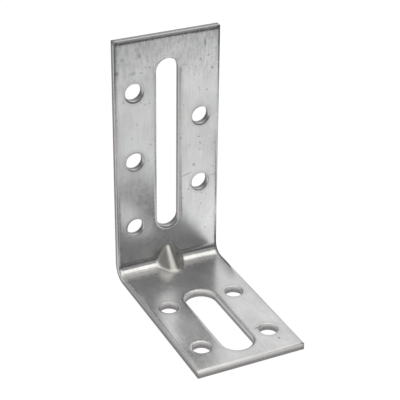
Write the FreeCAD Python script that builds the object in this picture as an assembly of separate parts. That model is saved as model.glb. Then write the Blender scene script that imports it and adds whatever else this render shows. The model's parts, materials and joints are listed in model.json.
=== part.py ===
"""Reinforced angle bracket: one zinc-coated steel sheet, punched and folded square, with a dart in the bend.

Frame, in millimetres: X runs across the sheet, the foot lies flat on Z = 0 and points towards -Y,
and the upright rises along +Z. The origin is under the middle of the bracket's own box.
"""
import FreeCAD, Part
import math
import os
from FreeCAD import Vector

# Sheet and fold
sheet_width = 30.0
sheet_thickness = 2.0
upright_height = 70.0
foot_length = 52.4
inner_bend_radius = 2.2

# Dart pressed into the bend. Its reach runs along each inner face, from the line where the two would meet.
dart_reach = 7.3
dart_half_width = 4.4
dart_crest_radius = 1.8
dart_valley_radius = 1.6
dent_root_radius = 0.5
dent_mouth_radius = 1.0

# Nail holes. The first is measured from the outer corner, and the margin runs from the last to the leg's end.
nail_hole_diameter = 5.0
nail_hole_column_spacing = 19.2
upright_first_hole = 15.2
upright_last_hole_margin = 14.8
upright_left_hole_count = 3
foot_first_hole = 23.4
foot_last_hole_margin = 9.2
foot_hole_rows = 2

# Slots, from the outer corner to the slot, and from the slot to the leg's end
upright_slot_width = 6.6
upright_slot_start = 13.2
upright_slot_margin = 6.8
foot_slot_width = 8.7
foot_slot_start = 18.95
foot_slot_margin = 4.15

# Rim that the punch draws down where it enters, on the inside of the fold. The small punches draw less.
roll_depth = 0.25
roll_width = 0.9
nail_roll_depth = 0.12
nail_roll_width = 0.5

# Worked out from the sizes above
half_width = sheet_width / 2
outer_bend_radius = inner_bend_radius + sheet_thickness
hole_radius = nail_hole_diameter / 2
left_column = -nail_hole_column_spacing / 2
right_column = nail_hole_column_spacing / 2
upright_hole_span = upright_height - upright_first_hole - upright_last_hole_margin
upright_hole_pitch = upright_hole_span / (upright_left_hole_count - 1)
foot_hole_span = foot_length - foot_first_hole - foot_last_hole_margin
foot_hole_pitch = foot_hole_span / (foot_hole_rows - 1)
upright_slot_length = upright_height - upright_slot_start - upright_slot_margin
foot_slot_length = foot_length - foot_slot_start - foot_slot_margin
dart_height = dart_reach / math.sqrt(2)
dart_half_angle = math.atan2(dart_half_width, dart_height)
dent_height = dart_height - sheet_thickness / math.sin(dart_half_angle)
ridge_direction = Vector(0, -1, -1).normalize()
ridge_outward = Vector(0, -1, 1).normalize()
clearance = sheet_thickness / 2
tolerance = 1e-4


def line(start, end):
    return Part.LineSegment(start, end).toShape()


def folded_sheet():
    """L-shaped sheet with concentric bend arcs. Its outer corner is the line Y = 0, Z = 0."""

    def at(y, z):
        return Vector(-half_width, y, z)

    def middle_of_bend(radius):
        offset = radius / math.sqrt(2)
        return at(offset - outer_bend_radius, outer_bend_radius - offset)

    toe_bottom, toe_top = at(-foot_length, 0), at(-foot_length, sheet_thickness)
    top_back, top_front = at(0, upright_height), at(-sheet_thickness, upright_height)
    outer_foot, outer_upright = at(-outer_bend_radius, 0), at(0, outer_bend_radius)
    inner_foot = at(-outer_bend_radius, sheet_thickness)
    inner_upright = at(-sheet_thickness, outer_bend_radius)

    section = Part.Wire([
        line(toe_bottom, outer_foot),
        Part.Arc(outer_foot, middle_of_bend(outer_bend_radius), outer_upright).toShape(),
        line(outer_upright, top_back),
        line(top_back, top_front),
        line(top_front, inner_upright),
        Part.Arc(inner_upright, middle_of_bend(inner_bend_radius), inner_foot).toShape(),
        line(inner_foot, toe_top),
        line(toe_top, toe_bottom),
    ])
    return Part.Face(section).extrude(Vector(sheet_width, 0, 0))


def ridge_prism(apex_height, rounding, depth):
    """Prism along the 45 degree ridge. Its section is a V whose point is rounded.

    Heights run square to the ridge, from the line where the two inner faces would meet.
    """
    corner = Vector(0, -sheet_thickness, sheet_thickness)

    def at(x, height):
        return corner + Vector(x, 0, 0) + ridge_outward * height

    rounding_centre = apex_height - rounding / math.sin(dart_half_angle)
    touch_x = rounding * math.cos(dart_half_angle)
    touch_height = rounding_centre + rounding * math.sin(dart_half_angle)
    base_x = (apex_height + depth) * math.tan(dart_half_angle)
    left_base, right_base = at(-base_x, -depth), at(base_x, -depth)
    left_touch, right_touch = at(-touch_x, touch_height), at(touch_x, touch_height)

    section = Part.Wire([
        line(left_base, left_touch),
        Part.Arc(left_touch, at(0, rounding_centre + rounding), right_touch).toShape(),
        line(right_touch, right_base),
        line(right_base, left_base),
    ])
    half_length = dart_reach + 2 * outer_bend_radius
    section.translate(ridge_direction * -half_length)
    return Part.Face(section).extrude(ridge_direction * (2 * half_length))


def rolled_rim(at, depth=roll_depth, width=roll_width):
    """Section of what the punch takes off a rim. It is drawn by at(inward, above).

    Inward is the distance from the cut wall into the sheet, and above the height over the inner skin. The arc
    is level where it ends a hair above the skin, so that it meets the skin at a small angle.
    """
    run_out = depth / 30
    rise = depth + run_out
    arc_radius = (width ** 2 + rise ** 2) / (2 * rise)
    half_turn = math.asin(width / arc_radius) / 2
    middle_inward = width - arc_radius * math.sin(half_turn)
    middle_above = run_out - arc_radius * (1 - math.cos(half_turn))
    foot_of_arc, end_of_arc = at(0, -depth), at(width, run_out)
    over_sheet, over_hole = at(width, clearance), at(-clearance, clearance)
    beside_wall = at(-clearance, -depth)
    return Part.Face(Part.Wire([
        Part.Arc(foot_of_arc, at(middle_inward, middle_above), end_of_arc).toShape(),
        line(end_of_arc, over_sheet),
        line(over_sheet, over_hole),
        line(over_hole, beside_wall),
        line(beside_wall, foot_of_arc),
    ]))


def round_punch():
    """Punch for a nail hole, round the Z axis, with the inner skin at Z = 0."""
    shank = Part.makeCylinder(hole_radius, 2 * sheet_thickness, Vector(0, 0, clearance - 2 * sheet_thickness))
    section = rolled_rim(
        lambda inward, above: Vector(hole_radius + inward, 0, above), nail_roll_depth, nail_roll_width)
    return [shank, section.revolve(Vector(0, 0, 0), Vector(0, 0, 1), 360)]


def slot_punch(width, length):
    """Punch for a slot with half-round ends. It runs along Y, with the inner skin at Z = 0."""
    radius = width / 2
    straight = length / 2 - radius
    bottom = clearance - 2 * sheet_thickness
    near_left, near_right = Vector(-radius, -straight, bottom), Vector(radius, -straight, bottom)
    far_left, far_right = Vector(-radius, straight, bottom), Vector(radius, straight, bottom)
    outline = Part.Wire([
        line(near_right, far_right),
        Part.Arc(far_right, Vector(0, length / 2, bottom), far_left).toShape(),
        line(far_left, near_left),
        Part.Arc(near_left, Vector(0, -length / 2, bottom), near_right).toShape(),
    ])
    tools = [Part.Face(outline).extrude(Vector(0, 0, 2 * sheet_thickness))]
    for side in (-1, 1):
        section = rolled_rim(lambda inward, above: Vector(side * (radius + inward), -straight, above))
        tools.append(section.extrude(Vector(0, 2 * straight, 0)))
        round_section = section.translated(Vector(0, straight + side * straight, 0))
        tools.append(round_section.revolve(Vector(0, side * straight, 0), Vector(0, 0, 1), 180))
    return tools


def through_upright(punch, x, height):
    inner_skin = Vector(x, -sheet_thickness, height)
    placement = FreeCAD.Placement(inner_skin, FreeCAD.Rotation(Vector(1, 0, 0), 90))
    return [tool.transformed(placement.toMatrix()) for tool in punch]


def through_foot(punch, x, distance):
    """Places a punch through the foot, at a distance from the back of the upright."""
    placement = FreeCAD.Placement(Vector(x, -distance, sheet_thickness), FreeCAD.Rotation())
    return [tool.transformed(placement.toMatrix()) for tool in punch]


def hole_punches():
    """Every hole and slot. The upright's right column is half a pitch higher and has one hole less."""
    upright_slot = slot_punch(upright_slot_width, upright_slot_length)
    foot_slot = slot_punch(foot_slot_width, foot_slot_length)
    tools = through_upright(upright_slot, 0, upright_slot_start + upright_slot_length / 2)
    tools += through_foot(foot_slot, 0, foot_slot_start + foot_slot_length / 2)
    for row in range(upright_left_hole_count):
        height = upright_first_hole + row * upright_hole_pitch
        tools += through_upright(round_punch(), left_column, height)
    for row in range(upright_left_hole_count - 1):
        height = upright_first_hole + (row + 0.5) * upright_hole_pitch
        tools += through_upright(round_punch(), right_column, height)
    for row in range(foot_hole_rows):
        for column in (left_column, right_column):
            tools += through_foot(round_punch(), column, foot_first_hole + row * foot_hole_pitch)
    return tools


def outline_rims():
    """Rolled rims along the sheet's own outline: the top, the toe and both sides, round the bend too."""
    across = Vector(sheet_width + 2 * clearance, 0, 0)
    start_x = -half_width - clearance
    top = rolled_rim(lambda inward, above: Vector(start_x, -sheet_thickness - above, upright_height - inward))
    toe = rolled_rim(lambda inward, above: Vector(start_x, inward - foot_length, sheet_thickness + above))
    tools = [top.extrude(across), toe.extrude(across)]
    bend_centre = Vector(0, -outer_bend_radius, outer_bend_radius)
    for side in (-1, 1):

        def beside_upright(inward, above):
            return Vector(side * (half_width - inward), -sheet_thickness - above, outer_bend_radius)

        def beside_foot(inward, above):
            return Vector(side * (half_width - inward), -outer_bend_radius, sheet_thickness + above)

        up = Vector(0, 0, upright_height + clearance - outer_bend_radius)
        forward = Vector(0, outer_bend_radius - foot_length - clearance, 0)
        tools.append(rolled_rim(beside_upright).extrude(up))
        tools.append(rolled_rim(beside_foot).extrude(forward))
        tools.append(rolled_rim(beside_foot).revolve(bend_centre, Vector(1, 0, 0), 90))
    return tools


def punched(sheet):
    """Punches the holes, the slots and the outline of the sheet."""
    return sheet.cut(Part.makeCompound(hole_punches())).cut(outline_rims()).Solids[0]


def in_skin(point, depth):
    """True for a point on the outside of the sheet, at depth 0, or at another depth below it."""
    bend_centre = Vector(point.x, -outer_bend_radius, outer_bend_radius)
    on_upright = abs(point.y + depth) < tolerance and point.z > outer_bend_radius - tolerance
    on_foot = abs(point.z - depth) < tolerance and point.y < tolerance - outer_bend_radius
    on_bend = abs(point.distanceToPoint(bend_centre) + depth - outer_bend_radius) < tolerance
    return on_upright or on_foot or on_bend


def is_bend_line(edge):
    """True for a line across the sheet where a flat leg runs into the bend."""
    box = edge.BoundBox
    at_bend = box.ZMax < outer_bend_radius + tolerance and box.YMin > -outer_bend_radius - tolerance
    return at_bend and box.YLength < tolerance and box.ZLength < tolerance


def rims(solid, depth):
    """Edges of one skin of the sheet, without the lines where it only starts to bend."""
    return [
        edge for edge in solid.Edges
        if not is_bend_line(edge) and all(in_skin(point, depth) for point in edge.discretize(5))
    ]


def touching(edges, tool):
    return [edge for edge in edges if edge.distToShape(tool)[0] < tolerance]


def with_dart(sheet):
    """Presses the dart: a ridge in the inside of the fold and the matching dent in the outside."""
    mid_sheet = sheet_thickness / 2
    reach = dart_reach + outer_bend_radius
    low_corner = Vector(-half_width, -mid_sheet - reach, mid_sheet)
    inside_of_fold = Part.makeBox(sheet_width, reach, reach, low_corner)
    ridge = ridge_prism(dart_height, dart_crest_radius, 0).common(inside_of_fold)
    raised = sheet.fuse(ridge).removeSplitter().Solids[0]
    raised = raised.makeFillet(dart_valley_radius, touching(rims(raised, sheet_thickness), ridge))

    dent = ridge_prism(dent_height, dent_root_radius, 2 * outer_bend_radius)
    pressed = raised.cut(dent).removeSplitter().Solids[0]
    return pressed.makeFillet(dent_mouth_radius, touching(rims(pressed, 0), dent))


bracket = with_dart(punched(folded_sheet()))
bracket.translate(Vector(0, foot_length / 2, 0))
os.makedirs("parts", exist_ok=True)
bracket.exportStep("parts/angle_bracket.step")
print("angle_bracket", "valid" if bracket.isValid() else "not valid", round(bracket.Volume, 1), "cubic mm")
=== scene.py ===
import json
import math
import bpy
from mathutils import Matrix, Vector
from mathutils.geometry import delaunay_2d_cdt


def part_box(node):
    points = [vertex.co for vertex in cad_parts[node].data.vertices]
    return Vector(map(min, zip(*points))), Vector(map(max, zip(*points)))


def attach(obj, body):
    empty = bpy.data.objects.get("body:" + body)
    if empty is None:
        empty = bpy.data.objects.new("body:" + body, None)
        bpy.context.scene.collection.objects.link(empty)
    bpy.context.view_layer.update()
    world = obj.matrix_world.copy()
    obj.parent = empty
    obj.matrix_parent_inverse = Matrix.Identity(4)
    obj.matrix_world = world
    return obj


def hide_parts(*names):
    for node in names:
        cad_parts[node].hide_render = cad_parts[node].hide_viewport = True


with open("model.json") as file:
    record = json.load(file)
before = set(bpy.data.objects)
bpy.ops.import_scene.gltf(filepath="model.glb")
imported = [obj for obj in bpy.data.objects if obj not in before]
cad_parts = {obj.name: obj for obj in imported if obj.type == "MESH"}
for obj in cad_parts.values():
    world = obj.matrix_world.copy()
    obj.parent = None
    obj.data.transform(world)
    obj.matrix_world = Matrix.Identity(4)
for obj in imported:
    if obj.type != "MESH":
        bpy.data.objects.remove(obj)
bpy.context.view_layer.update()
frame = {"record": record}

MM = 0.001
NODE = "angle_bracket"

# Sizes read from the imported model, in metres
low, high = (Vector(corner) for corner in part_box(NODE))
half_width = (high.x - low.x) / 2
upright_height = high.z - low.z
foot_length = high.y - low.y
back = high.y

# Sizes of the folded sheet that the record doesn't hold
sheet_thickness = 2.0 * MM
inner_bend_radius = 2.2 * MM
soft_bend_radius = 2.9 * MM  # to which the inside of the bend is filled
outer_bend_radius = inner_bend_radius + sheet_thickness
roll_depth = 0.25 * MM
roll_width = 0.9 * MM
nail_roll_depth = 0.12 * MM
nail_roll_width = 0.5 * MM

# The pressed dart: its reach along each leg, and its radii and blends from the upper end to the tip
dart_reach = 7.3 * MM
dart_half_width = 4.4 * MM
dart_crest_radius = 1.8 * MM
dart_top_radius = 1.0 * MM
dart_tip_radius = 3.0 * MM
dart_top_blend = 0.9 * MM
dart_tip_blend = 0.8 * MM
dent_root_radius = 0.5 * MM
dent_mouth_blend = 0.7 * MM

# Lengths along the flat strip, from the toe of the foot to the top of the upright
mid_bend_radius = inner_bend_radius + sheet_thickness / 2
foot_flat = foot_length - outer_bend_radius
bend_end = foot_flat + mid_bend_radius * math.pi / 2
strip_length = bend_end + upright_height - outer_bend_radius

# The ridge, seen along itself, stands on the line where the inner faces of the legs would meet
dart_height = dart_reach / math.sqrt(2)
dart_half_angle = math.atan2(dart_half_width, dart_height)
crest_cut = 1 / math.sin(dart_half_angle) - 1
crest_height = dart_height - dart_crest_radius * crest_cut
dent_height = dart_height - sheet_thickness / math.sin(dart_half_angle)
dent_crest = dent_height - dent_root_radius * crest_cut
ridge_outward = Vector((0, -1, 1)).normalized()
ridge_along = Vector((0, -1, -1)).normalized()
inner_corner = Vector((0, back - sheet_thickness, sheet_thickness))

# How finely the strip is divided
NAIL_STEP = 0.35 * MM
SLOT_STEP = 0.5 * MM
OUTLINE_STEP = 1.0 * MM
LEAST_STEPS_PER_QUARTER = 6
RIM_ROWS = (0.05, 0.12, 0.2, 0.3, 0.42, 0.55, 0.7, 0.85, 1.0, 1.2)  # as shares of the roll's width
RIM_CLEARANCE = 0.25 * MM
FINE_STEP = 0.2 * MM
DART_PATCH_HALF_WIDTH = 5.6 * MM
DART_PATCH_REACH = 7.0 * MM
DART_PATCH_MARGIN = 0.4 * MM
BEND_PATCH_REACH = 1.5 * MM
BEND_PATCH_MARGIN = 0.3 * MM
BEND_CROSS_STEP = 0.8 * MM
PLAIN_STEP = 1.2 * MM
WALL_LEVELS = (0.12, 0.28, 0.34, 0.55, 0.8)  # rows on a cut wall, between 0 at its rolled rim and 1 outside
TRIANGULATION_TOLERANCE = 1e-5

# Camera solved from the outlines in the photograph
IMAGE_SIZE = 400
SENSOR_WIDTH = 36.0
FOCAL_PIXELS = 1309.56
CAMERA_PLACE = Vector((-129.99, -260.39, 194.65)) * MM
CAMERA_AZIMUTH = math.radians(-26.139)
CAMERA_ELEVATION = math.radians(28.943)
CAMERA_ROLL = math.radians(0.713)
CLIP_START, CLIP_END = 0.01, 20


def fold(x, along, depth):
    """Place in the bracket of a point of the flat strip, at a depth below the inner skin."""
    if along < foot_flat:
        return Vector((x, low.y + along, sheet_thickness - depth))
    if along > bend_end:
        height = outer_bend_radius + along - bend_end
        return Vector((x, back - sheet_thickness + depth, height))
    turn = (along - foot_flat) / mid_bend_radius
    radius = inner_bend_radius + depth
    return Vector((
        x,
        back - outer_bend_radius + radius * math.sin(turn),
        outer_bend_radius - radius * math.cos(turn),
    ))


def smooth_maximum(first, second, blend):
    """The larger of two heights, rounded where they are less than the blend apart."""
    overlap = max(blend - abs(first - second), 0.0) / blend
    return max(first, second) + overlap * overlap * blend / 4


def ridge_height(x, crest, rounding):
    """Height of a ridge with a rounded crest over the line where the inner faces would meet."""
    if abs(x) < rounding * math.cos(dart_half_angle):
        return crest - rounding + math.sqrt(rounding * rounding - x * x)
    return crest + rounding * crest_cut - abs(x) / math.tan(dart_half_angle)


def lift(point, crest, roundings, blends, bend_radius):
    """Lifts a point of a skin square to the ridge, onto the dart and onto the filled bend.

    Roundings and blends are pairs, for the ridge's upper end and for its tip. The bend radius is that of the
    filled bend at the point's depth, or 0 where the bend stays as it is. Returns the point, and how far the
    ridge stands over the skin there.
    """
    height = (point - inner_corner).dot(ridge_outward)
    beside = (point - inner_corner).dot(ridge_along)
    share = min(max(beside / dart_height / 2 + 0.5, 0.0), 1.0)
    rounding, blend = (first + (second - first) * share for first, second in (roundings, blends))
    skin = height
    if abs(beside) < bend_radius / math.sqrt(2):
        skin = max(height, soft_bend_radius * math.sqrt(2) - math.sqrt(bend_radius ** 2 - beside ** 2))
    ridge = ridge_height(point.x, crest, rounding)
    return point + ridge_outward * (smooth_maximum(skin, ridge, blend) - height), ridge - skin


class Rim:
    """The cut line of a hole or slot in the flat strip."""

    def __init__(self, x, along, radius, half_straight):
        self.x, self.along = x, along
        self.radius, self.half_straight = radius, half_straight
        self.step = SLOT_STEP if half_straight else NAIL_STEP
        self.roll_width = roll_width if half_straight else nail_roll_width
        self.roll_depth = roll_depth if half_straight else nail_roll_depth

    def distance(self, x, along):
        """Distance from the cut line into the sheet. It is negative in the hole."""
        beyond = max(abs(along - self.along) - self.half_straight, 0.0)
        return math.hypot(x - self.x, beyond) - self.radius

    def ring(self, offset):
        """Points round the cut line, at an offset into the sheet."""
        radius = self.radius + offset
        per_end = 2 * max(LEAST_STEPS_PER_QUARTER, round(math.pi * self.radius / self.step / 2))
        per_side = max(1, round(2 * self.half_straight / self.step)) if self.half_straight else 0
        points = []
        for side in (1, -1):
            centre = self.along + side * self.half_straight
            for i in range(per_end + (1 if per_side else 0)):
                angle = math.pi * i / per_end
                points.append((
                    self.x + side * radius * math.cos(angle),
                    centre + side * radius * math.sin(angle),
                ))
            for i in range(1, per_side):
                step = 2 * self.half_straight * i / per_side
                points.append((self.x - side * radius, centre - side * step))
        return points


class Outline:
    """The strip's outline, a rectangle."""

    roll_width, roll_depth = roll_width, roll_depth

    def distance(self, x, along):
        """Distance from the outline into the sheet."""
        return min(half_width - abs(x), along, strip_length - along)

    def ring(self, offset):
        """Points round the outline, at an offset into the sheet."""
        width, length = half_width - offset, strip_length / 2 - offset
        counts = round(2 * half_width / OUTLINE_STEP), round(strip_length / OUTLINE_STEP)
        corners = [(-width, -length), (width, -length), (width, length), (-width, length)]
        points = []
        for index, (start, end) in enumerate(zip(corners, corners[1:] + corners[:1])):
            count = counts[index % 2]
            for i in range(count):
                share = i / count
                points.append((
                    start[0] + (end[0] - start[0]) * share,
                    strip_length / 2 + start[1] + (end[1] - start[1]) * share,
                ))
        return points


def pattern_centres(mount):
    """Centres of a mount's holes as x and the distance along the strip."""
    place, dims = Vector(mount["pos_m"]), mount["dims"]
    across = dims.get("spacing_x_mm", 0) * MM / 2
    lengthwise = dims.get("spacing_y_mm", 0) * MM / 2
    on_upright = abs(mount["axis"][1]) > 0.5
    along = bend_end + place.z - outer_bend_radius if on_upright else place.y - low.y
    return sorted({
        (place.x + i * across, along + j * lengthwise)
        for i in (-1, 1) for j in (-1, 1)
    })


def hole_rims():
    """Rims of all holes and slots, from the record's mounts."""
    found = []
    for mount in frame["record"]["mounts"]:
        if mount["kind"] != "bolt_pattern":
            continue
        radius = mount["dims"]["hole_r_mm"] * MM
        half_straight = max(mount["dims"].get("slot_length_mm", 0) * MM / 2 - radius, 0.0)
        found += [Rim(x, along, radius, half_straight) for x, along in pattern_centres(mount)]
    return found


def spaced(start, end, step):
    """Evenly spaced values from start to end, about a step apart."""
    count = max(1, round((end - start) / step))
    return [start + (end - start) * i / count for i in range(count + 1)]


def inner_points(holes, outline):
    """Points inside the strip: rows beside each cut line, close rows in the dart and the bend, and a grid."""
    offsets = [roll_width * share for share in RIM_ROWS]
    points = []
    for rim in holes + [outline]:
        for offset in offsets:
            points += rim.ring(offset)

    clear = offsets[-1] + RIM_CLEARANCE
    dart_low, dart_high = foot_flat - DART_PATCH_REACH, bend_end + DART_PATCH_REACH
    bend_low, bend_high = foot_flat - BEND_PATCH_REACH, bend_end + BEND_PATCH_REACH

    def add_where_free(x, along):
        if outline.distance(x, along) > clear and all(hole.distance(x, along) > clear for hole in holes):
            points.append((x, along))

    for along in spaced(dart_low, dart_high, FINE_STEP):
        for x in spaced(-DART_PATCH_HALF_WIDTH, DART_PATCH_HALF_WIDTH, FINE_STEP):
            add_where_free(x, along)
    for along in spaced(bend_low, bend_high, FINE_STEP):
        for x in spaced(-half_width + clear, half_width - clear, BEND_CROSS_STEP):
            if abs(x) > DART_PATCH_HALF_WIDTH + FINE_STEP:
                add_where_free(x, along)
    for along in spaced(clear, strip_length - clear, PLAIN_STEP):
        in_bend = bend_low - BEND_PATCH_MARGIN < along < bend_high + BEND_PATCH_MARGIN
        beside_dart = dart_low - DART_PATCH_MARGIN < along < dart_high + DART_PATCH_MARGIN
        for x in spaced(-half_width + clear, half_width - clear, PLAIN_STEP):
            in_dart = beside_dart and abs(x) < DART_PATCH_HALF_WIDTH + DART_PATCH_MARGIN
            if not in_bend and not in_dart:
                add_where_free(x, along)
    return points


def triangulate(holes, outline):
    """Flat triangulation of the punched strip. Returns points, triangles and the rims as lists of indices."""
    scale = 1 / MM
    flat, loops = [], []
    for rim in [outline] + holes:
        ring = rim.ring(0.0)
        loops.append(list(range(len(flat), len(flat) + len(ring))))
        flat += ring
    flat += inner_points(holes, outline)
    edges = [(loop[i - 1], loop[i]) for loop in loops for i in range(len(loop))]
    coords, _, faces, origin, _, _ = delaunay_2d_cdt(
        [Vector((x * scale, along * scale)) for x, along in flat], edges, [], 0, TRIANGULATION_TOLERANCE)
    new_index = {old: new for new, olds in enumerate(origin) for old in olds}
    coords = [(c.x * MM, c.y * MM) for c in coords]
    loops = [[new_index[i] for i in loop] for loop in loops]
    kept = []
    for face in faces:
        x = sum(coords[i][0] for i in face) / 3
        along = sum(coords[i][1] for i in face) / 3
        if outline.distance(x, along) > 0 and all(hole.distance(x, along) > 0 for hole in holes):
            kept.append(tuple(face))
    return coords, kept, loops


def roll(distance, width, depth):
    """Depth by which the punch draws the inner skin down beside a cut line."""
    radius = (width ** 2 + depth ** 2) / (2 * depth)
    inward = max(width - distance, 0.0)
    return radius - math.sqrt(radius ** 2 - inward ** 2)


class Sheet:
    """Vertices and polygons of the folded sheet, with what its materials need to know at each vertex.

    That is the place on the flat strip, the gap to the nearest rim, and the ridge's height over the skin.
    """

    def __init__(self):
        self.vertices, self.polygons = [], []
        self.flat_places, self.gaps, self.lifts = [], [], []

    def add(self, x, along, depth, level, gap=0.0):
        """Adds a folded vertex. Its level is 0 on the inner skin, 1 on the outer, and between on a wall."""
        point, ridge_over_skin = fold(x, along, depth), -strip_length
        if level == 0:
            point, ridge_over_skin = lift(
                point, crest_height, (dart_top_radius, dart_tip_radius), (dart_top_blend, dart_tip_blend),
                soft_bend_radius + depth)
        elif level == 1:
            point, ridge_over_skin = lift(
                point, dent_crest, (dent_root_radius,) * 2, (dent_mouth_blend,) * 2, 0)
        self.vertices.append(point)
        self.flat_places.append((x / MM, along / MM, level))
        self.gaps.append(gap / MM)
        self.lifts.append(ridge_over_skin / MM)
        return len(self.vertices) - 1


def folded_sheet():
    """The whole bracket, both skins and then the cut walls. Returns it and the skins' count of polygons."""
    outline, holes = Outline(), hole_rims()
    rims = [outline] + holes
    coords, faces, loops = triangulate(holes, outline)
    sheet = Sheet()
    inner, outer = [], []
    for x, along in coords:
        distances = [max(rim.distance(x, along), 0.0) for rim in rims]
        drawn_down = max(roll(gap, rim.roll_width, rim.roll_depth) for gap, rim in zip(distances, rims))
        inner.append(sheet.add(x, along, drawn_down, 0, min(distances)))
        outer.append(sheet.add(x, along, sheet_thickness, 1, min(distances)))
    sheet.polygons += [tuple(inner[i] for i in face) for face in faces]
    sheet.polygons += [tuple(outer[i] for i in reversed(face)) for face in faces]
    skin_count = len(sheet.polygons)

    for rim, loop in zip(rims, loops):
        rows = [[inner[i] for i in loop]]
        for level in WALL_LEVELS:
            depth = rim.roll_depth + (sheet_thickness - rim.roll_depth) * level
            rows.append([sheet.add(*coords[i], depth, level) for i in loop])
        rows.append([outer[i] for i in loop])
        for upper, lower in zip(rows, rows[1:]):
            for k in range(len(loop)):
                sheet.polygons.append((upper[k - 1], lower[k - 1], lower[k], upper[k]))
    return sheet, skin_count


def add_object(name, data):
    """A new object of the scene, from its mesh, camera or lamp."""
    piece = bpy.data.objects.new(name, data)
    bpy.context.scene.collection.objects.link(piece)
    return piece


class Nodes:
    """Short calls for the nodes of one tree."""

    def __init__(self, tree):
        self.nodes, self.links = tree.nodes, tree.links

    def add(self, kind, inputs=None, output=0, **settings):
        """Adds a node and returns its output. Inputs, by name or index, are sockets or plain values."""
        node = self.nodes.new(kind)
        for name, value in settings.items():
            setattr(node, name, value)
        for name, value in (inputs or {}).items():
            socket = node.inputs[name]
            if isinstance(value, bpy.types.NodeSocket):
                self.links.new(value, socket)
            else:
                socket.default_value = value
        return node.outputs[output]

    def attribute(self, name, output="Fac"):
        return self.add("ShaderNodeAttribute", output=output, attribute_name=name)

    def math(self, operation, first, second=0.0):
        return self.add("ShaderNodeMath", {0: first, 1: second}, operation=operation)

    def sum(self, first, second):
        return self.math("ADD", first, second)

    def less(self, value):
        """What a value leaves of 1."""
        return self.math("SUBTRACT", 1.0, value)

    def product(self, values):
        total = values[0]
        for value in values[1:]:
            total = self.math("MULTIPLY", total, value)
        return total

    def ramp(self, value, low, high, start=0.0, end=1.0):
        """Maps a value from low..high smoothly to start..end, held at both ends."""
        return self.add("ShaderNodeMapRange", {
            "Value": value, "From Min": low, "From Max": high, "To Min": start, "To Max": end,
        }, interpolation_type="SMOOTHSTEP")

    def mix(self, factor, first, second):
        return self.add("ShaderNodeMix", {"Factor": factor, "A": first, "B": second}, data_type="FLOAT")

    def scaled(self, place, scale):
        return self.add("ShaderNodeMapping", {"Vector": place, "Scale": scale})

    def noise(self, place, scale, detail, roughness):
        return self.add("ShaderNodeTexNoise", {
            "Vector": self.scaled(place, scale), "Scale": 1.0, "Detail": detail, "Roughness": roughness,
        })

    def strip_place(self):
        """Place on the flat strip, then its parts: across and along in mm, and 0 inside to 1 outside."""
        place = self.attribute("strip_place", "Vector")
        axes = self.nodes.new("ShaderNodeSeparateXYZ")
        self.links.new(place, axes.inputs[0])
        return place, *axes.outputs


def new_material(name):
    material = bpy.data.materials.new(name)
    material.use_nodes = True
    net = Nodes(material.node_tree)
    return material, net, net.nodes["Principled BSDF"]


# Materials measure the strip in millimetres. A ramp is given as from, to, and the value at each.
edge_mm = half_width / MM
bend_start_mm = foot_flat / MM
bend_end_mm = bend_end / MM
strip_top_mm = strip_length / MM
HALF_THROUGH = (0.4, 0.6)

# The zinc's reflectance, and the roughness of the smooth and the dull parts of its mottling
SKIN_TONE = 0.67
SKIN_ROUGHNESS = (0.22, 0.27)
SKIN_BUMP_STRENGTH = 0.25
SKIN_BUMP_DISTANCE = 0.0000025
STREAK_RELIEF = 0.5

# Noises of the zinc: scale across, along and by side, then detail and roughness
SKIN_NOISES = {
    "streaks": ((2.2, 0.09, 1.0), 4.0, 0.6),
    "fine_streaks": ((7.0, 0.22, 1.0), 3.0, 0.6),
    "blotches": ((0.16, 0.11, 1.0), 2.0, 0.5),
    "mottle": ((0.9, 0.75, 1.0), 4.0, 0.62),
    "grain": ((5.0, 4.0, 1.0), 2.0, 0.7),
    "handling": ((1.1, 0.45, 1.0), 3.0, 0.6),
    "wipes": ((0.07, 3.0, 1.0), 2.0, 0.5),
    "specked_parts": ((0.22, 0.12, 1.0), 2.0, 0.5),
    "speck_sizes": ((0.9, 0.9, 1.0), 1.0, 0.4),
    "cool_parts": ((0.06, 0.045, 1.0), 2.0, 0.5),
}

# Noises that shade the whole skin, each with its ramp to a tone
SKIN_SHADES = {
    "streaks": (0.3, 0.72, 0.955, 1.03),
    "fine_streaks": (0.3, 0.7, 0.965, 1.03),
    "blotches": (0.32, 0.68, 0.93, 1.05),
    "mottle": (0.3, 0.68, 0.965, 1.025),
    "grain": (0.25, 0.75, 0.985, 1.015),
    "wipes": (0.66, 0.74, 1.0, 0.93),
}
MOTTLE_RANGE = (0.3, 0.7)

# Smears of handling near the top, deeper on the inside than on the outside
TOP_PART = (strip_top_mm - 17, strip_top_mm - 7)
SMEAR_RANGE = (0.44, 0.62)
SMEAR_DEPTHS = (0.17, 0.08)

# Specks, fewer on the foot
UPRIGHT_PART = (bend_end_mm, bend_end_mm + 8)
SPECK_SPACING = (0.62, 0.62, 7.0)
SPECK_SIZES = (0.35, 0.65, 0.1, 0.26)
SPECK_EDGE = (0.6, 1.1)
SPECKED_RANGE = (0.46, 0.56)
SPECKS_ON_FOOT = 0.25
SPECK_DEPTH = 0.24

# Tone and roughness beside the rims
WORN_RIM = (0.0, 1.8, 0.88, 1.0)
DULL_RIM = (0.0, 1.2, 0.06, 0.0)

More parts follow.
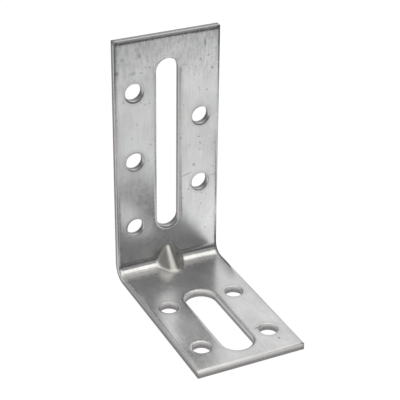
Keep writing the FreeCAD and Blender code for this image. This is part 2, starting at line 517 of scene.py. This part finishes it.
# Traces of the press, and painted shade in the dart's valleys, along the bend's end and over the foot.
# How far the ridge stands over the skin tells how far inside the dart a point is.
# What burnishing adds is taken off the roughness, so a negative value makes the skin duller.
# Painted shade: the foot a little darker than the upright
FOOT_TO_UPRIGHT_SHADE = (bend_start_mm - 4, bend_end_mm + 4, 0.955, 1.03)
DRAWN_RANGE = (-0.5, 0.6)
DRAWN_TONE = 0.94
# Painted shade in the dart's valleys, on the upright's side
VALLEY_SHADE_OUTSIDE = (-1.3, -0.4, 0.0, 0.3)
VALLEY_SHADE_INSIDE = (-0.1, 0.6, 1.0, 0.1)
VALLEY_SHADE_PART = (bend_end_mm - 3.5, bend_end_mm - 0.5)
# Painted shade: a dark line where the bend ends, fading out to the left and kept off the dart
BEND_END_SHADE_START = (bend_end_mm - 0.6, bend_end_mm - 0.15, 0.0, 0.42)
BEND_END_SHADE_END = (bend_end_mm + 0.1, bend_end_mm + 0.55, 1.0, 0.0)
BEND_END_SHADE_ACROSS = (-4.0, 8.0)
BEND_END_SHADE_BESIDE_DART = (-1.6, -0.8, 1.0, 0.0)
DULL_DART = (-1.4, -0.2, 0.0, 0.16)
DULL_FOOT_END = (bend_start_mm - 4.0, bend_start_mm - 1.0, 0.0, -0.07)
BURNISHED_START = (bend_start_mm, bend_start_mm + 1.5, 0.0, 0.15)
BURNISHED_END = (bend_end_mm - 1.8, bend_end_mm - 0.7, 1.0, 0.0)
BURNISHED_BESIDE_DART = (-1.0, -0.2, 1.0, 0.0)

# Broad painted shading of the upright, standing in for its uneven reflection of the studio: lighter to the
# right, lighter low down, darker in the middle and lighter again towards the top
ACROSS_SHADE = (-edge_mm, edge_mm, 0.945, 1.03)
LOW_SHADE = (bend_end_mm + 12, bend_end_mm + 26, 1.06, 0.935)
HIGH_SHADE = (bend_end_mm + 40, bend_end_mm + 56, 1.0, 1.06)
TOP_SHADE = (-edge_mm, edge_mm, 0.975, 1.04)

# Tints: the upright is a little cool in parts, and the dart a little warm. Factors for red and for blue.
COOL_RANGE = (0.42, 0.6)
COOL_TINT = (0.988, 1.004)
DRAWN_TINT = (1.02, 0.95)

# Single marks on the inner skin: place across and along the strip, half sizes across and along, lean in
# radians, and how much of the tone they take. The last two are painted highlights on the foot, which lighten
# it instead.
MARKS_AND_HIGHLIGHTS = [
    (11.6, 111.2, 0.28, 0.3, 0, 0.4),
    (12.8, 107.6, 0.35, 0.38, 0, 0.45),
    (10.6, 115.0, 0.28, 1.1, 0.12, 0.5),
    (-10.1, 109.7, 1.3, 0.5, 0.1, 0.2),
    (-7.7, 109.5, 0.5, 0.35, 0, 0.25),
    (-14.3, 110.5, 0.5, 0.6, 0, 0.35),
    (-8.0, 114.5, 0.5, 0.7, 0.2, 0.25),
    (-12.8, 114.0, 0.7, 0.6, 0, 0.22),
    (-12.7, 102.2, 0.35, 0.5, 0, 0.25),
    (-6.6, 100.5, 0.4, 0.25, 0, 0.25),
    (11.3, 101.5, 0.4, 0.25, 0, 0.35),
    (9.5, 86.1, 0.33, 0.33, 0, 0.35),
    (9.1, 88.1, 0.7, 0.22, 0, 0.3),
    (3.8, 88.6, 0.28, 0.4, 0, 0.3),
    (7.6, 79.9, 0.45, 0.5, 0.4, 0.35),
    (5.4, 77.3, 1.7, 0.3, 0.25, 0.25),
    (13.4, 75.6, 0.9, 0.25, 0, 0.25),
    (7.1, 10.9, 0.75, 0.3, 0, 0.55),
    (10.2, 4.6, 0.45, 0.4, 0, 0.5),
    # Painted highlights on the foot, in place of reflections
    (-10.5, 17.0, 4.5, 10.0, 0, -0.22),
    (-4.0, 43.1, 2.4, 3.2, 0, -0.22),
]
MARK_AND_HIGHLIGHT_EDGE = (0.5, 1.2)  # in half sizes
MARK_AND_HIGHLIGHT_THROUGH = 1000.0


def speck_tone(net, place, noise, upright):
    """Small dark specks, scattered over parts of the skin."""
    spots = net.add("ShaderNodeTexVoronoi", {"Vector": net.scaled(place, SPECK_SPACING), "Scale": 1.0},
                    output="Distance")
    from_speck = net.math("DIVIDE", spots, net.ramp(noise["speck_sizes"], *SPECK_SIZES))
    specks = net.product([
        net.less(net.ramp(from_speck, *SPECK_EDGE)),
        net.ramp(noise["specked_parts"], *SPECKED_RANGE),
        net.ramp(upright, 0.0, 1.0, SPECKS_ON_FOOT, 1.0),
    ])
    return net.less(net.math("MULTIPLY", specks, SPECK_DEPTH))


def marks_and_highlights_tone(net, place):
    """All single marks and painted highlights, each an ellipse with a soft edge."""
    tones = []
    for x, along, half_across, half_along, lean, strength in MARKS_AND_HIGHLIGHTS:
        local = net.add("ShaderNodeMapping", {
            "Vector": place, "Location": (x, along, 0), "Rotation": (0, 0, lean),
            "Scale": (half_across, half_along, MARK_AND_HIGHLIGHT_THROUGH),
        }, vector_type="TEXTURE")
        away = net.add("ShaderNodeVectorMath", {0: local}, output="Value", operation="LENGTH")
        tones.append(net.ramp(away, *MARK_AND_HIGHLIGHT_EDGE, 1.0 - strength, 1.0))
    return net.product(tones)


def dart_and_painted_shade_tones(net, across, along, pressed, inside, drawn):
    """The drawn dart on the inner skin, and painted shade: in its valleys, in a line where the bend ends, and
    over the foot.
    """
    # Painted shade: in the dart's valleys, and in a dark line where the bend ends
    valley_shade = net.product([
        net.ramp(pressed, *VALLEY_SHADE_OUTSIDE), net.ramp(pressed, *VALLEY_SHADE_INSIDE), net.ramp(along, *VALLEY_SHADE_PART)])
    bend_end_shade = net.product([
        net.ramp(along, *BEND_END_SHADE_START), net.ramp(along, *BEND_END_SHADE_END),
        net.ramp(across, *BEND_END_SHADE_ACROSS), net.ramp(pressed, *BEND_END_SHADE_BESIDE_DART), inside])
    return [
        net.ramp(drawn, 0.0, 1.0, 1.0, DRAWN_TONE), net.less(valley_shade), net.less(bend_end_shade),
        net.ramp(along, *FOOT_TO_UPRIGHT_SHADE),
    ]


def skin_roughness(net, along, gap, pressed, mottle):
    """Roughness of the zinc: duller on rims, on the dart and before the bend, burnished in the bend."""
    dull = net.sum(net.ramp(pressed, *DULL_DART), net.ramp(gap, *DULL_RIM))
    burnished = net.product([
        net.sum(net.ramp(along, *DULL_FOOT_END), net.ramp(along, *BURNISHED_START)),
        net.ramp(along, *BURNISHED_END), net.ramp(pressed, *BURNISHED_BESIDE_DART)])
    return net.math("SUBTRACT", net.sum(net.ramp(mottle, *MOTTLE_RANGE, *SKIN_ROUGHNESS), dull), burnished)


def zinc_skin():
    """Satin zinc coating: rolled streaks, mottling, worn rims, specks, marks, the drawn dart, painted shade
    and highlights.
    """
    material, net, shader = new_material("zinc_skin")
    place, across, along, side = net.strip_place()
    gap, pressed = net.attribute("rim_gap"), net.attribute("pressed")
    noise = {name: net.noise(place, *settings) for name, settings in SKIN_NOISES.items()}
    outside = net.ramp(side, *HALF_THROUGH)
    inside = net.ramp(side, *HALF_THROUGH, 1.0, 0.0)
    top = net.ramp(along, *TOP_PART)
    upright = net.ramp(along, *UPRIGHT_PART)
    drawn = net.product([net.ramp(pressed, *DRAWN_RANGE), inside])
    smears = net.product([
        top, net.ramp(noise["handling"], *SMEAR_RANGE), net.ramp(side, *HALF_THROUGH, *SMEAR_DEPTHS)])
    # Painted shading of the upright, in place of its uneven reflection of the studio
    painted_broad_shade = net.product([
        net.ramp(across, *ACROSS_SHADE), net.ramp(along, *LOW_SHADE), net.ramp(along, *HIGH_SHADE),
        net.mix(top, 1.0, net.ramp(across, *TOP_SHADE))])

    tone = net.product(
        dart_and_painted_shade_tones(net, across, along, pressed, inside, drawn)
        + [net.ramp(noise[name], *shade) for name, shade in SKIN_SHADES.items()]
        + [
            net.less(smears),
            net.ramp(gap, *WORN_RIM),
            speck_tone(net, place, noise, upright),
            net.mix(outside, marks_and_highlights_tone(net, place), 1.0),
            net.mix(upright, 1.0, painted_broad_shade),
            SKIN_TONE,
        ])
    cool = net.product([upright, net.ramp(noise["cool_parts"], *COOL_RANGE)])
    red, blue = (
        net.product([
            tone, net.ramp(cool, 0.0, 1.0, 1.0, cool_tint), net.ramp(drawn, 0.0, 1.0, 1.0, drawn_tint)])
        for cool_tint, drawn_tint in zip(COOL_TINT, DRAWN_TINT))
    colour = net.add("ShaderNodeCombineColor", {"Red": red, "Green": tone, "Blue": blue})
    relief = net.sum(net.math("MULTIPLY", noise["fine_streaks"], STREAK_RELIEF), noise["mottle"])
    bump = net.add("ShaderNodeBump", {
        "Strength": SKIN_BUMP_STRENGTH, "Distance": SKIN_BUMP_DISTANCE, "Height": relief})
    net.links.new(colour, shader.inputs["Base Color"])
    shader.inputs["Metallic"].default_value = 1.0
    net.links.new(skin_roughness(net, along, gap, pressed, noise["mottle"]), shader.inputs["Roughness"])
    net.links.new(bump, shader.inputs["Normal"])
    return material


# The cut walls: noises as above, then ramps from them and from the level, 0 at the inner rim to 1 outside
SCORES = ((6.0, 6.0, 0.5), 3.0, 0.6)
PITS = ((5.0, 5.0, 6.0), 4.0, 0.7)
WALL_RANGE = (0.3, 0.7)
TORN_WANDER = (-0.12, 0.12)
TORN_PART = (0.05, 0.7)
BURNISHED_TONES = (0.50, 0.58)
TORN_TONES = (0.23, 0.31)
WALL_RED = 1.03
WALL_ROUGHNESS = (0.32, 0.5)
WALL_BUMP_STRENGTH = 0.5
WALL_BUMP_DISTANCE = 0.00006


def cut_wall():
    """Sheared steel: a bright burnished band under the rolled rim, then a dull torn zone, scored across."""
    material, net, shader = new_material("cut_wall")
    place, _, _, level = net.strip_place()
    scores, pits = net.noise(place, *SCORES), net.noise(place, *PITS)
    torn = net.ramp(net.sum(level, net.ramp(scores, *WALL_RANGE, *TORN_WANDER)), *TORN_PART)
    burnished_tone = net.ramp(scores, *WALL_RANGE, *BURNISHED_TONES)
    torn_tone = net.ramp(pits, *WALL_RANGE, *TORN_TONES)
    tone = net.mix(torn, burnished_tone, torn_tone)
    colour = net.add("ShaderNodeCombineColor", {
        "Red": net.math("MULTIPLY", tone, WALL_RED), "Green": tone, "Blue": tone})
    relief = net.sum(scores, net.product([pits, torn]))
    bump = net.add("ShaderNodeBump", {
        "Strength": WALL_BUMP_STRENGTH, "Distance": WALL_BUMP_DISTANCE, "Height": relief})
    net.links.new(colour, shader.inputs["Base Color"])
    shader.inputs["Metallic"].default_value = 1.0
    net.links.new(net.ramp(torn, 0.0, 1.0, *WALL_ROUGHNESS), shader.inputs["Roughness"])
    net.links.new(bump, shader.inputs["Normal"])
    return material


def bracket_piece():
    """The bracket's object, with smooth skins and walls, and sharp edges between them."""
    sheet, skin_count = folded_sheet()
    mesh = bpy.data.meshes.new("bracket_sheet")
    mesh.from_pydata(sheet.vertices, [], sheet.polygons)
    mesh.validate()
    mesh.update()
    place = mesh.attributes.new("strip_place", "FLOAT_VECTOR", "POINT")
    place.data.foreach_set("vector", [value for point in sheet.flat_places for value in point])
    for name, values in (("rim_gap", sheet.gaps), ("pressed", sheet.lifts)):
        mesh.attributes.new(name, "FLOAT", "POINT").data.foreach_set("value", values)

    mesh.materials.append(zinc_skin())
    mesh.materials.append(cut_wall())
    edge_materials = {}
    for index, polygon in enumerate(mesh.polygons):
        polygon.material_index = 0 if index < skin_count else 1
        polygon.use_smooth = True
        for key in polygon.edge_keys:
            edge_materials.setdefault(key, set()).add(polygon.material_index)
    for edge in mesh.edges:
        edge.use_edge_sharp = len(edge_materials[edge.key]) == 2
    return add_object("bracket_sheet", mesh)


# The studio: a glowing floor, a softbox, and the dark surroundings that the metal mirrors
WHITE = (1, 1, 1, 1)
FLOOR_COLOUR = (0.9, 0.9, 0.9, 1)
FLOOR_REACH = 3.0
FLOOR_GLOW_SHARE = 0.86
FLOOR_GLOW_STRENGTH = 1.09
SOFTBOX_HEIGHT = 0.75
SOFTBOX_WIDTH = 0.95
SOFTBOX_LENGTH = 1.05
SOFTBOX_SHIFT = -0.03
SOFTBOX_RADIANCE = 0.5
SOFTBOX_COLOUR = (1.0, 0.95, 0.84)
WORLD_FILL = 0.55

# Upright grey screens round the bracket: tones by level, 0 at the foot to 1 at the top, then the posts
# between which each is hung, as x, y, foot and top
SCREENS = [
    ([(0.0, 0.08), (0.3, 0.10), (0.5, 0.35), (0.62, 0.54), (0.7, 0.60), (0.76, 0.14), (1.0, 0.10)],
     [(0.03, -0.15, 0, 0.225), (0.096, -0.15, 0, 0.225)]),
    ([(0.0, 0.08), (0.3, 0.10), (0.5, 0.35), (0.62, 0.54), (0.7, 0.60), (0.8, 0.75), (1.0, 0.60)],
     [(0.096, -0.15, 0, 0.22), (0.10, -0.15, 0, 0.22), (0.11, -0.133, 0, 0.22)]),
    ([(0.0, 0.08), (1.0, 0.10)],
     [(0.11, -0.133, 0, 0.235), (0.13, -0.10, 0, 0.235), (0.13, 0.0, 0, 0.22), (0.14, 0.06, 0, 0.20)]),
    ([(0.0, 0.10), (1.0, 0.14)],
     [(0.06, 0.03, 0, 0.009), (0.06, 0.055, 0, 0.009)]),
    ([(0.0, 0.08), (0.5, 0.10), (0.8, 0.3), (1.0, 0.5)],
     [(-0.065, -0.05, 0.012, 0.06), (-0.04, -0.11, 0, 0.10), (0.03, -0.15, 0, 0.17)]),
    ([(0.0, 0.08), (0.5, 0.10), (1.0, 0.40)],
     [(-0.07, 0.03, 0.012, 0.06), (-0.065, -0.05, 0.012, 0.06)]),
    ([(0.0, 0.15), (0.5, 0.40), (1.0, 0.40)],
     [(-0.07, 0.03, 0.012, 0.06), (-0.10, 0.12, 0.02, 0.22), (-0.13, 0.28, 0.02, 0.32),
      (-0.08, 0.40, 0.02, 0.36), (0.04, 0.40, 0.02, 0.36)]),
    ([(0.0, 0.20), (1.0, 0.28)],
     [(-0.03, 0.04, 0.008, 0.03), (-0.03, 0.004, 0.008, 0.03)]),
    ([(0.0, 0.08), (0.3, 0.10), (0.5, 0.30), (1.0, 0.7)],
     [(0.0185, 0.019, 0, 0.011), (0.0185, 0.032, 0, 0.011)]),
    ([(0.0, 0.52), (1.0, 0.42)],
     [(0.045, -0.148, 0.070, 0.094), (0.078, -0.148, 0.070, 0.094)]),
]

# Grey cards that lie on the floor, painted shadows of the bracket there, seen only in reflections: tone, then
# the corners
FLOOR_SHADOW_CARDS = [
    (0.22, [(0.037, -0.012), (0.052, -0.042), (0.058, -0.03), (0.058, 0.01), (0.037, 0.01)]),
    (0.22, [(-0.019, 0.014), (-0.032, 0.014), (-0.052, -0.025), (-0.034, -0.03), (-0.019, 0.0)]),
    (0.62, [(-0.0185, -0.027), (-0.0151, -0.027), (-0.0151, 0.022), (-0.0185, 0.022)]),
]
FLOOR_SHADOW_CARD_LIFT = 0.0003


def add_stage(name, vertices, faces, material):
    """A studio surface, such as the floor, which isn't part of the bracket."""
    mesh = bpy.data.meshes.new(name)
    mesh.from_pydata(vertices, [], faces)
    mesh.materials.append(material)
    piece = add_object(name, mesh)
    return piece


def background_rays(net):
    """1 for rays that should see the plain background: from the camera, or mirrored, or through glass."""
    path = net.nodes.new("ShaderNodeLightPath")
    seen = path.outputs["Is Camera Ray"]
    for name in ("Is Glossy Ray", "Is Transmission Ray"):
        seen = net.math("MAXIMUM", seen, path.outputs[name])
    return seen


def add_camera():
    data = bpy.data.cameras.new("camera")
    data.sensor_width = SENSOR_WIDTH
    data.lens = FOCAL_PIXELS * SENSOR_WIDTH / IMAGE_SIZE
    data.clip_start, data.clip_end = CLIP_START, CLIP_END
    level_right = Vector((math.cos(CAMERA_AZIMUTH), math.sin(CAMERA_AZIMUTH), 0))
    backward = Vector((
        math.sin(CAMERA_AZIMUTH) * math.cos(CAMERA_ELEVATION),
        -math.cos(CAMERA_AZIMUTH) * math.cos(CAMERA_ELEVATION),
        math.sin(CAMERA_ELEVATION),
    ))
    level_up = backward.cross(level_right)
    right = level_right * math.cos(CAMERA_ROLL) + level_up * math.sin(CAMERA_ROLL)
    up = backward.cross(right)
    view = add_object("camera", data)
    view.matrix_world = Matrix.Translation(CAMERA_PLACE) @ Matrix((right, up, backward)).transposed().to_4x4()
    bpy.context.scene.camera = view


def add_floor():
    """A white floor that glows to plain background rays and still takes the bracket's shadow."""
    material, net, shader = new_material("floor_white")
    shader.inputs["Base Color"].default_value = FLOOR_COLOUR
    shader.inputs["Roughness"].default_value = 1.0
    shader.inputs["Specular IOR Level"].default_value = 0.0
    glow = net.add("ShaderNodeEmission", {"Color": WHITE, "Strength": FLOOR_GLOW_STRENGTH})
    share = net.math("MULTIPLY", background_rays(net), FLOOR_GLOW_SHARE)
    surface = net.add("ShaderNodeMixShader", {0: share, 1: shader.outputs[0], 2: glow})
    net.links.new(surface, net.nodes["Material Output"].inputs["Surface"])
    corners = [(x * FLOOR_REACH, y * FLOOR_REACH, 0) for x, y in ((-1, -1), (1, -1), (1, 1), (-1, 1))]
    add_stage("studio_floor", corners, [(0, 1, 2, 3)], material)


def card_grey():
    """Plain glow in the grey that each vertex of a card holds."""
    material, net, shader = new_material("card_grey")
    net.nodes.remove(shader)
    tone = net.attribute("tone")
    colour = net.add("ShaderNodeCombineColor", {"Red": tone, "Green": tone, "Blue": tone})
    glow = net.add("ShaderNodeEmission", {"Color": colour})
    net.links.new(glow, net.nodes["Material Output"].inputs["Surface"])
    return material


def add_cards():
    """Grey screens round the bracket, and grey cards on the floor that paint its shadow there. Only
    mirror-like surfaces see them.
    """
    vertices, faces, tones = [], [], []
    for levels, posts in SCREENS:
        first, rows = len(vertices), len(levels)
        for x, y, foot, top in posts:
            vertices += [(x, y, foot + (top - foot) * level) for level, _ in levels]
            tones += [tone for _, tone in levels]
        for post in range(len(posts) - 1):
            for row in range(rows - 1):
                corner = first + post * rows + row
                faces.append((corner, corner + rows, corner + rows + 1, corner + 1))
    for tone, card in FLOOR_SHADOW_CARDS:
        faces.append(tuple(range(len(vertices), len(vertices) + len(card))))
        vertices += [(x, y, FLOOR_SHADOW_CARD_LIFT) for x, y in card]
        tones += [tone] * len(card)
    piece = add_stage("studio_cards", vertices, faces, card_grey())
    piece.data.attributes.new("tone", "FLOAT", "POINT").data.foreach_set("value", tones)
    piece.visible_camera = False
    piece.visible_diffuse = False
    piece.visible_shadow = False


def add_softbox():
    data = bpy.data.lights.new("softbox", "AREA")
    data.shape = "RECTANGLE"
    data.size, data.size_y = SOFTBOX_WIDTH, SOFTBOX_LENGTH
    data.energy = SOFTBOX_RADIANCE * math.pi * SOFTBOX_WIDTH * SOFTBOX_LENGTH
    data.color = SOFTBOX_COLOUR
    lamp = add_object("softbox", data)
    lamp.location = (0.0, SOFTBOX_SHIFT, SOFTBOX_HEIGHT)
    lamp.visible_camera = False


def add_world():
    """A white world for plain background rays, and a dimmer one that lights the bracket."""
    studio = bpy.data.worlds.new("studio")
    studio.use_nodes = True
    bpy.context.scene.world = studio
    net = Nodes(studio.node_tree)
    background = net.nodes["Background"]
    background.inputs["Color"].default_value = WHITE
    strength = net.add("ShaderNodeMapRange", {
        "Value": background_rays(net), "To Min": WORLD_FILL, "To Max": 1.0})
    net.links.new(strength, background.inputs["Strength"])


piece = bracket_piece()
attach(piece, "root")
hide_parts(NODE)

add_camera()
add_floor()
add_cards()
add_softbox()
add_world()
bpy.context.scene.view_settings.view_transform = "Standard"
